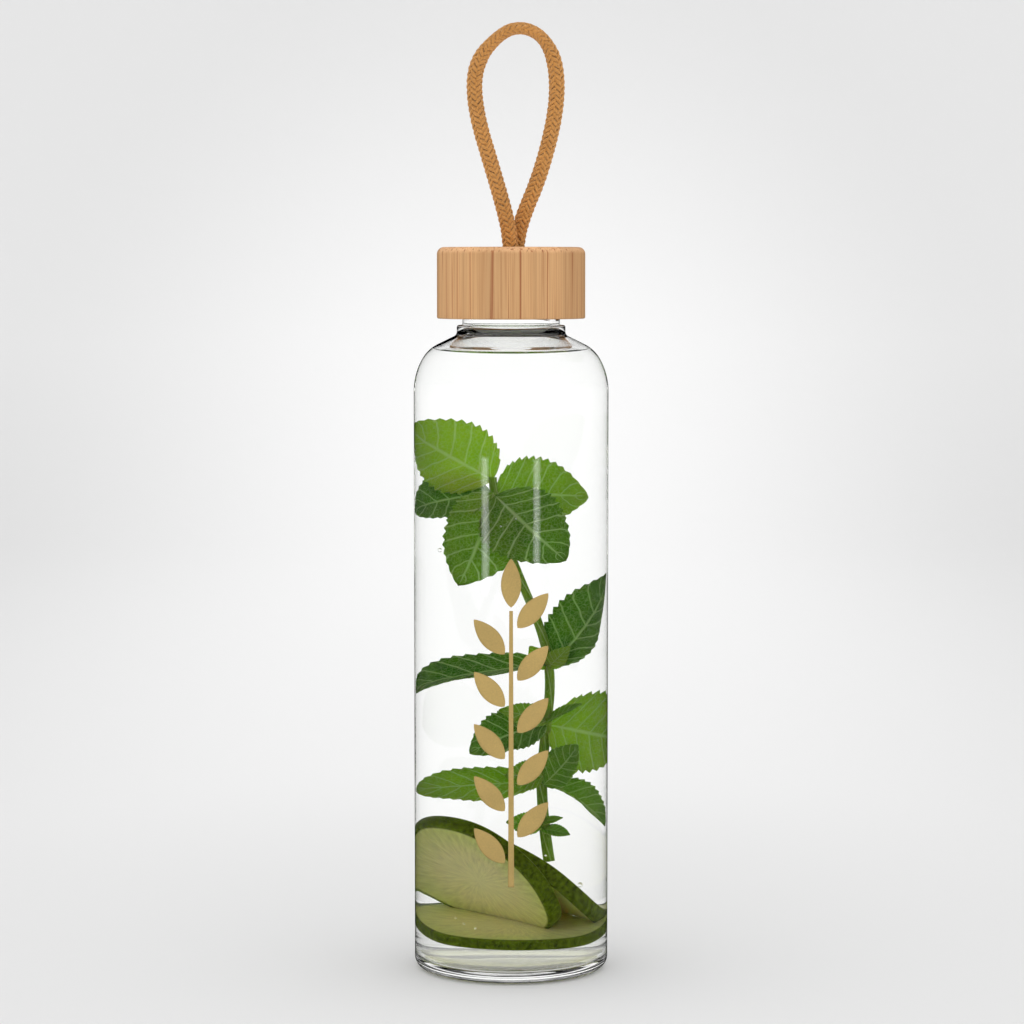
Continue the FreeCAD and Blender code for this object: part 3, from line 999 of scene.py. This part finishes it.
def knotted(name, low, high, material):
    """The rope's ends, wound over and under each other and pressed flat between the two heights."""
    radius, swell, wide, thick, gap = 5.4 * MM, 1.6 * MM, 4.6 * MM, 3.4 * MM, 0.2 * MM
    middle, lift = (low + high) / 2, (high - low - thick) / 2 - gap
    points, drawn = 240, 0.97
    line = []
    for n in range(points + 1):
        turn = drawn * math.tau * n / points
        reach, height = radius + swell * math.cos(3 * turn), middle + lift * math.sin(3 * turn)
        line.append(Vector((reach * math.cos(2 * turn), reach * math.sin(2 * turn), height)))
    track = Track(line)
    bm = bmesh.new()
    uv = bm.loops.layers.uv.new("strand")
    rise = bm.verts.layers.float.new("rise")

    def place(s, t):
        point, tangent, _, _ = track.at(track.length * s)
        up = Vector((0, 0, 1))
        up = (up - tangent * up.dot(tangent)).normalized()
        angle = math.tau * t
        return point + tangent.cross(up) * (wide / 2 * math.cos(angle)) + up * (thick / 2 * math.sin(angle))

    sealed(bm, laid_grid(bm, rows=120, columns=14, place=place, uv=uv, values=[(rise, lambda s, t: 0.6)]))
    return finished(name, bm, material)


class BOTTLE_OT_rope(bpy.types.Operator):
    """Braids the carry loop, and knots its ends inside the cap"""

    bl_idname = "bottle.rope"
    bl_label = "Rope loop"

    def execute(self, context):
        rope = context.scene.bottle_rope
        cotton = braided_cotton(rope)
        low = Vector((0, 0, rope.tucked))
        route = [Vector(ROPE_ROUTE[0]) - low, *map(Vector, ROPE_ROUTE), Vector(ROPE_ROUTE[-1]) - low]
        line = route_line(route)
        loop, long = braided("rope_loop", rope, line, cotton)
        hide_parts("carry_rope")
        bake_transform(loop)
        tuple(line[0])
        [tuple(p) for p in line]
        knot = knotted("rope_ends", KNOT[0].z, context.scene.bottle_cap.chamber_top, cotton)
        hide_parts("rope_knot")
        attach(knot, "cap")
        return {"FINISHED"}


# ---------------------------------------------------------------- drink


def swollen(outline, overlap):
    """The outline moved out by that much, so that the water wets the glass without a gap."""
    moved = []
    for before, (r, z), after in zip(outline[:1] + outline, outline, outline[1:] + outline[-1:]):
        run_r, run_z = after[0] - before[0], after[1] - before[1]
        size = math.hypot(run_r, run_z)
        moved.append((max(r + run_z / size * overlap, 0.0), z - run_r / size * overlap))
    return moved


# Place and radius of each bubble, in millimetres.
BUBBLES = [
    (-20.0, -8.0, 142.0, 0.75),
    (19.0, -6.0, 29.5, 0.85),
    (-21.5, 4.0, 166.0, 0.95),
    (-17.0, -19.0, 20.5, 0.35),
    (-14.5, -20.5, 18.8, 0.3),
    (-11.0, -22.0, 17.6, 0.35),
    (18.5, -14.0, 20.4, 0.3),
    (9.5, -9.0, 40.2, 0.3),
    (-3.0, -22.0, 151.0, 0.35),
    (1.5, -22.5, 153.5, 0.3),
]


class BOTTLE_OT_water(bpy.types.Operator):
    """Pours the water, with its meniscus and a few bubbles"""

    bl_idname = "bottle.water"
    bl_label = "Water"

    def execute(self, context):
        glass, drink = context.scene.bottle_glass, context.scene.bottle_drink
        if not drink.filled:
            return {"FINISHED"}
        wetted = [p for p in reversed(inner_outline(glass)) if p[1] < drink.level + drink.meniscus]
        edge, rings, overlap, fade = wetted[-1][0], 24, 0.05 * MM, 1.5 * MM
        surface = []
        for n in range(1, rings + 1):
            r = edge * (1 - (n / rings) ** 2)
            surface.append((r, drink.level + drink.meniscus * math.exp(-(edge - r) / fade)))
        bm = spun(swollen(wetted, overlap) + surface, glass.segments)
        piece = finished("water", bm, water())
        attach(piece, "bottle")

        bm = bmesh.new()
        for x, y, z, radius in BUBBLES:
            place = Matrix.Translation(Vector((x, y, z)) * MM)
            bmesh.ops.create_icosphere(bm, subdivisions=3, radius=radius * MM, matrix=place)
        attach(finished("bubbles", bm, bubble()), "bottle")
        return {"FINISHED"}


def kept_in(point, glass):
    """The point, drawn in towards the axis where it would touch the glass.

    Nothing moves in the free middle, and from there on the points crowd together short of the limit.
    """
    gap = 0.5 * MM
    limit = glass.body_radius - glass.wall - gap
    free = 0.86 * limit
    radius = math.hypot(point.x, point.y)
    if radius > free:
        share = (free + (limit - free) * (1 - math.exp((free - radius) / (limit - free)))) / radius
        return Vector((point.x * share, point.y * share, point.z))
    return point


def bent(points):
    """A track through a smooth line that the points steer, which are in millimetres."""
    return Track(route_line([Vector(p) * MM for p in points]))


def stalk(bm, track, first, last, uv, tone):
    """A mint stalk along the track, a little square and tapering between its two radii."""

    def place(s, t):
        point, tangent, side, plane = track.at(track.length * s)
        angle = math.tau * t
        squared = 1 + 0.08 * math.cos(4 * angle)
        radius = (first + (last - first) * s) * squared
        return point + plane * (radius * math.cos(angle)) + side * (radius * math.sin(angle))

    sealed(bm, laid_grid(bm, rows=60, columns=16, place=place, uv=uv, values=[(tone, lambda s, t: 0.45)]))


def mint_leaf(bm, leaf, thickness, glass, uv, tone):
    """One toothed leaf, puffed between its veins, folded along its midrib and curled."""
    base, heading, facing, long, half, fold, curl, shade = leaf
    ahead = Vector(heading).normalized()
    up = Vector(facing)
    up = (up - ahead * up.dot(ahead)).normalized()
    right = ahead.cross(up)
    start = Vector(base) * MM
    long, half = long * MM, half * MM

    def place(s, t):
        side = 2 * t - 1
        teeth = 1 + 0.13 * abs(side) ** 5 * ((LEAF_TEETH * s) % 1 - 0.5)
        width = half * leaf_width(s, 0.82, 0.72) * teeth
        vein = LEAF_VEINS * s - VEIN_LEAN * abs(side)
        puff = 0.030 * half * abs(math.sin(math.pi * vein)) * (1 - side**4) * min(1, 5 * s)
        wave = 0.05 * half * side * side * math.sin(11 * s + shade * 9)
        x = side * width
        bend = curl * max(s, 1e-3)
        along = long * s * math.sin(bend) / bend
        raised = long * s * (1 - math.cos(bend)) / bend
        raised += fold * abs(x) + puff + wave
        return kept_in(start + right * x + ahead * along + up * raised, glass)

    made = laid_grid(bm, rows=52, columns=14, place=place, uv=uv, values=[(tone, lambda s, t: shade)])
    faces = list({f for v in made for f in v.link_faces})
    bmesh.ops.remove_doubles(bm, verts=made, dist=FINE_MERGE)
    faces = [f for f in faces if f.is_valid]
    bmesh.ops.solidify(bm, geom=faces, thickness=thickness)


# Each mint leaf: where it leaves the stalk (mm), the way it grows, the way its face looks, its length
# and half width (mm), how sharply it folds, how it curls (radians), and its shade from old to young.
MINT_LEAVES = [
    ((-4.6, 1.0, 165.0), (-0.78, 0.02, 0.56), (0.10, -1.0, 0.15), 30, 12.5, 0.18, -0.15, 0.95),
    ((-4.0, 0.0, 160.0), (0.94, 0.10, 0.02), (-0.10, -0.9, 0.45), 23, 13.0, 0.22, -0.30, 0.66),
    ((-4.6, -3.0, 161.0), (-0.18, -0.30, -0.80), (0.35, -0.85, 0.30), 33, 13.0, 0.25, -0.60, 0.40),
    ((-5.0, 0.0, 160.5), (-0.92, -0.20, -0.12), (0.12, -0.75, 0.60), 26, 9.0, 0.35, -0.45, 0.16),
    ((-4.0, -4.0, 160.0), (0.50, -0.30, -0.60), (-0.35, -0.85, 0.30), 29, 12.5, 0.25, -0.60, 0.20),
    ((10.5, 1.0, 103.0), (0.62, 0.05, 0.85), (-0.45, -0.85, 0.05), 36, 10.0, 0.40, 0.30, 0.14),
    ((9.0, -1.0, 103.0), (-1.0, -0.12, -0.09), (-0.10, -0.36, 0.93), 43, 8.5, 0.40, -0.30, 0.12),
    ((9.5, 0.0, 102.0), (-0.50, -0.30, 0.85), (0.0, -1.0, 0.2), 9, 3.0, 0.3, -0.3, 0.85),
    ((9.5, -0.5, 102.5), (0.60, -0.30, 0.75), (0.0, -1.0, 0.2), 9, 3.0, 0.3, -0.3, 0.6),
    ((9.0, -1.0, 83.0), (-0.95, -0.28, -0.22), (-0.1, -0.62, 0.75), 22, 9.5, 0.25, -0.55, 0.14),
    ((9.0, 1.0, 83.0), (0.88, 0.25, -0.30), (0.1, -0.93, 0.35), 26, 14.0, 0.18, -0.45, 0.90),
    ((9.0, -1.0, 84.0), (-0.60, -0.20, 0.30), (0.1, -0.8, 0.6), 13, 4.5, 0.3, -0.4, 0.55),
    ((9.0, -1.0, 84.0), (0.70, -0.20, 0.50), (-0.3, -0.5, 0.8), 12, 2.6, 0.4, -0.2, 0.35),
    ((8.4, -2.0, 63.0), (0.62, -0.25, 0.72), (-0.35, -0.9, 0.2), 19, 6.2, 0.25, 0.25, 0.28),
    ((8.2, -1.0, 64.0), (-1.0, -0.06, -0.05), (-0.02, -0.62, 0.80), 37, 8.0, 0.12, -0.15, 0.74),
    ((8.2, -2.5, 66.0), (-0.85, -0.30, 0.10), (0.1, -0.95, 0.3), 10, 5.2, 0.2, -0.3, 0.55),
    ((8.4, 1.0, 63.0), (0.86, 0.15, -0.50), (0.35, -0.35, 0.87), 23, 6.0, 0.6, -0.65, 0.40),
    ((7.6, -1.0, 49.0), (-0.90, -0.25, 0.22), (0.0, -0.9, 0.4), 9, 4.0, 0.3, -0.3, 0.50),
    ((7.8, -1.0, 48.0), (0.90, -0.25, -0.15), (0.0, -0.7, 0.7), 8, 2.4, 0.3, -0.3, 0.35),
    ((7.8, -1.0, 50.0), (0.80, -0.25, 0.35), (0.0, -0.7, 0.7), 6, 1.6, 0.3, -0.3, 0.45),
]
# Points that steer the stalk (mm), from its top to its cut end.
MINT_STALK = [
    (-4.6, 0.5, 166),
    (-4.4, 0, 156),
    (1.0, 0, 136),
    (8.4, 0, 113),
    (10.2, 0, 98),
    (8.6, 0, 80),
    (7.2, 0, 58),
    (9.6, 0, 37),
]
# Each cucumber slice: its centre (mm), the way its seen face looks, its shares of the radius and thickness,
# and how far its rim is warped (mm).
CUCUMBER_SLICES = [
    ((0.4, 0.0, 14.3), (0.02, -0.11, 0.99), 1.09, 0.65, 1.2),
    ((3.5, 5.0, 30.0), (-0.54, -0.36, -0.76), 1.0, 1.0, 0.5),
    ((-6.8, -2.0, 32.4), (-0.60, -0.50, -0.62), 1.03, 1.0, 0.5),
]


class BOTTLE_OT_mint(bpy.types.Operator):
    """Grows the sprig of mint"""

    bl_idname = "bottle.mint"
    bl_label = "Mint sprig"

    def execute(self, context):
        drink = context.scene.bottle_drink
        if not drink.filled:
            return {"FINISHED"}
        bm = bmesh.new()
        uv = bm.loops.layers.uv.new("blade")
        tone = bm.verts.layers.float.new("tone")
        stalk(bm, bent(MINT_STALK), drink.stalk_tip, drink.stalk_foot, uv, tone)
        for leaf in MINT_LEAVES:
            mint_leaf(bm, leaf, drink.leaf_thickness, context.scene.bottle_glass, uv, tone)
        bmesh.ops.recalc_face_normals(bm, faces=bm.faces)
        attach(finished("mint_sprig", bm, mint(drink)), "bottle")
        return {"FINISHED"}


def slice_outline(radius, half):
    """Half-section of a slice with softened edges, and with rings on its flat faces that let it warp."""
    edge, bulge, rings = 0.35 * MM, 0.1 * MM, 12
    flat = [radius * n / rings for n in range(rings)] + [radius - edge]
    under, over = [(r, -half) for r in flat], [(r, half) for r in reversed(flat)]
    return [*under, (radius, edge - half), (radius + bulge, 0.0), (radius, half - edge), *over]


class BOTTLE_OT_cucumber(bpy.types.Operator):
    """Cuts the cucumber slices"""

    bl_idname = "bottle.cucumber"
    bl_label = "Cucumber slices"

    def execute(self, context):
        drink = context.scene.bottle_drink
        if not drink.filled:
            return {"FINISHED"}
        finish = cucumber(drink)
        for number, (centre, facing, wide, thick, warp) in enumerate(CUCUMBER_SLICES, 1):
            radius, half = drink.slice_radius * wide, drink.slice_thickness * thick / 2
            bm = spun(slice_outline(radius, half), segments=96)
            uv = bm.loops.layers.uv.new("slice")
            for face in bm.faces:
                for loop in face.loops:
                    loop[uv].uv = loop.vert.co.xy / radius
            for vert in bm.verts:
                angle = math.atan2(vert.co.y, vert.co.x)
                vert.co.xy *= 1 + 0.012 * math.cos(3 * angle + number) + 0.006 * math.sin(7 * angle)
                vert.co.z -= warp * MM * math.cos(2 * angle) * (vert.co.xy.length / radius) ** 2
            turn = Vector((0, 0, 1)).rotation_difference(Vector(facing)).to_matrix().to_4x4()
            bmesh.ops.transform(bm, matrix=Matrix.Translation(Vector(centre) * MM) @ turn, verts=bm.verts)
            for vert in bm.verts:
                vert.co = kept_in(vert.co, context.scene.bottle_glass)
            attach(finished(f"cucumber_slice_{number}", bm, finish), "bottle")
        return {"FINISHED"}


# ---------------------------------------------------------------- stage


def aimed(piece, place, target):
    """Puts a camera or lamp at place, looking at target."""
    piece.location = place
    piece.rotation_euler = (Vector(target) - Vector(place)).to_track_quat("-Z", "Y").to_euler()


def set_camera(scene, studio):
    """Puts up the camera."""
    data = bpy.data.cameras.new("camera")
    data.lens = studio.lens
    data.sensor_width = 36.0
    camera = bpy.data.objects.new("camera", data)
    scene.collection.objects.link(camera)
    aimed(camera, studio.eye, studio.aim)
    scene.camera = camera


def studio_sheet(studio):
    """The backdrop: a round floor that curves up into a wall. Mirror-like surfaces don't see it."""
    profile = [(0.0, 0.0), (studio.floor_radius, 0.0)]
    profile += arc((studio.floor_radius, studio.cove), studio.cove, -90, 0, 16)[1:]
    profile.append((studio.floor_radius + studio.cove, studio.wall_top))
    bm = spun(profile, segments=96, closed=False)
    upward = sum(f.normal.z for f in bm.faces if f.calc_center_median().length < studio.floor_radius)
    if upward < 0:
        bmesh.ops.reverse_faces(bm, faces=bm.faces)
    sheet = finished("studio_sheet", bm, backdrop(studio))
    sheet.visible_glossy = False
    return sheet


def set_air(scene, studio):
    """Fills the scene with even light, which mirror-like surfaces don't see."""
    world = bpy.data.worlds.new("studio_air")
    world.use_nodes = True
    sky = world.node_tree.nodes["Background"]
    sky.inputs["Color"].default_value = (1, 1, 1, 1)
    sky.inputs["Strength"].default_value = studio.air
    scene.world = world
    world.cycles_visibility.glossy = False


def strip_lamp(place, target, size, power):
    """A lamp that only mirror-like surfaces see, for the bright streaks down the wall."""
    data = bpy.data.lights.new("strip_lamp", "AREA")
    data.shape = "RECTANGLE"
    data.size, data.size_y = size
    data.energy = power
    lamp = bpy.data.objects.new("strip_lamp", data)
    bpy.context.scene.collection.objects.link(lamp)
    aimed(lamp, place, target)
    lamp.visible_camera = False
    lamp.visible_diffuse = False


def set_strips(studio):
    """Stands three lamps on each side, the narrow in front of the wide, so that a streak is soft-edged."""
    turn, height, tall, nearest = math.radians(30), 0.075, 0.083, 0.95
    for side in (-1, 1):
        for width in (0.17, 0.12, 0.07):
            away = nearest + width / 3
            place = (side * away * math.sin(turn), -away * math.cos(turn), height)
            strip_lamp(place, (0, 0, height), (width, tall), studio.strip_power * width)


class BOTTLE_OT_stage(bpy.types.Operator):
    """Sets the pale backdrop, the lamps and the camera"""

    bl_idname = "bottle.stage"
    bl_label = "Studio stage"

    def execute(self, context):
        studio, scene = context.scene.bottle_stage, context.scene
        set_camera(scene, studio)
        studio_sheet(studio)
        set_air(scene, studio)
        set_strips(studio)
        scene.view_settings.view_transform = "Standard"
        scene.cycles.max_bounces = 40
        scene.cycles.transmission_bounces = 40
        return {"FINISHED"}


class BOTTLE_PT_panel(bpy.types.Panel):
    """Lists the bottle's pieces in the sidebar"""

    bl_idname = "BOTTLE_PT_panel"
    bl_label = "Bottle"
    bl_space_type = "VIEW_3D"
    bl_region_type = "UI"
    bl_category = "Bottle"

    def draw(self, context):
        for name, _, operators in ROWS:
            box = self.layout.box()
            for operator in operators:
                box.operator(operator.bl_idname)
            group = getattr(context.scene, name)
            for key in group.bl_rna.properties.keys():
                if key not in ("rna_type", "name"):
                    box.prop(group, key)


# Each row of the panel: the scene's name for the settings, their class, and the operators that use them.
ROWS = [
    ("bottle_stage", StageSettings, [BOTTLE_OT_stage]),
    ("bottle_rope", RopeSettings, [BOTTLE_OT_rope]),
    ("bottle_glass", GlassSettings, [BOTTLE_OT_glass]),
    ("bottle_print", PrintSettings, [BOTTLE_OT_print]),
    ("bottle_cap", CapSettings, [BOTTLE_OT_cap]),
    ("bottle_drink", DrinkSettings, [BOTTLE_OT_water, BOTTLE_OT_mint, BOTTLE_OT_cucumber]),
]


def register():
    for name, group, operators in ROWS:
        for kind in (group, *operators):
            bpy.utils.register_class(kind)
        setattr(bpy.types.Scene, name, PointerProperty(type=group))
    bpy.utils.register_class(BOTTLE_PT_panel)


def unregister():
    bpy.utils.unregister_class(BOTTLE_PT_panel)
    for name, group, operators in ROWS:
        delattr(bpy.types.Scene, name)
        for kind in (*operators, group):
            bpy.utils.unregister_class(kind)


def main():
    register()
    bpy.ops.bottle.stage()
    bpy.ops.bottle.rope()
    bpy.ops.bottle.glass()
    bpy.ops.bottle.print()
    bpy.ops.bottle.cap()
    bpy.ops.bottle.water()
    bpy.ops.bottle.mint()
    bpy.ops.bottle.cucumber()


if __name__ == "__main__":
    main()
